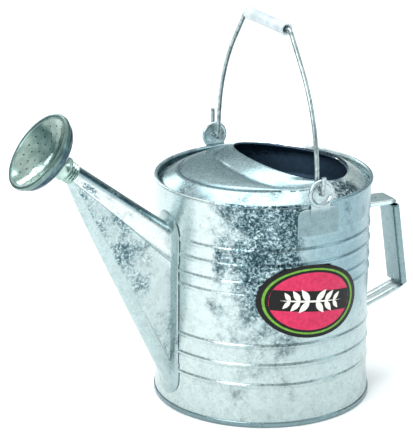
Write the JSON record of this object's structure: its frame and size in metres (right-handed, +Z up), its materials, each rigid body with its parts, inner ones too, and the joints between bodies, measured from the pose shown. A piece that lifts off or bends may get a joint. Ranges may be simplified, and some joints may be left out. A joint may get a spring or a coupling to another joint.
{
  "type": "watering can",
  "caption": "Galvanised steel watering can with a half-domed top, deep wedge spout, screw-on rose, strap handle and swinging wire bail",
  "frame": {"origin": "the point on the floor under the middle of the drum, on the flat base", "axes": "+Z up, +X away from the spout towards the back handle, +Y towards the right ear"},
  "size_m": [0.4761, 0.2588, 0.427],
  "materials": {
    "galvanised_sheet": "hot-dip galvanised, spangled",
    "galvanised_wire": "galvanised drawn wire",
    "plated_steel": "bright zinc plated",
    "washer_rubber": "moulded",
    "grip_plastic": "moulded, satin",
    "label_print": "printed vinyl"
  },
  "bodies": {
    "can": {"body_wall": "galvanised_sheet", "rim_wire": "galvanised_wire", "bottom_pan": "galvanised_sheet", "top_cover": "galvanised_sheet", "spout": "galvanised_sheet", "spout_ferrule": "plated_steel", "ear_left": "galvanised_sheet", "ear_right": "galvanised_sheet", "handle_strap": "galvanised_sheet", "handle_grip": "galvanised_sheet", "label": "label_print"},
    "bail": {"bail_wire": "galvanised_wire"},
    "grip": {"bail_grip": "grip_plastic"},
    "washer": {"rose_washer": "washer_rubber"},
    "rose": {"rose_socket": "plated_steel", "rose_shell": "plated_steel", "rose_face": "plated_steel"}
  },
  "joints": [
    {"name": "bail_swing", "type": "hinge", "parent": "can", "child": "bail", "pos_m": [0.0025, 0, 0.261], "axis": [0, 1, 0], "range_deg": [-94, 98]},
    {"name": "grip_spin", "type": "hinge", "parent": "bail", "child": "grip", "pos_m": [0.0025, 0, 0.42], "axis": [0, 1, 0], "continuous": true},
    {"name": "rose_travel", "type": "slide", "parent": "can", "child": "washer", "axis": [-0.788, 0, 0.6157], "range_m": [0, 0.0096]},
    {"name": "rose_turn", "type": "hinge", "parent": "washer", "child": "rose", "pos_m": [-0.2268, 0, 0.2795], "axis": [-0.788, 0, 0.6157], "range_deg": [0, 1080]}
  ],
  "couplings": [
    {"joint": "rose_travel", "follows": "rose_turn", "m_per_rad": 0.00050929}
  ]
}
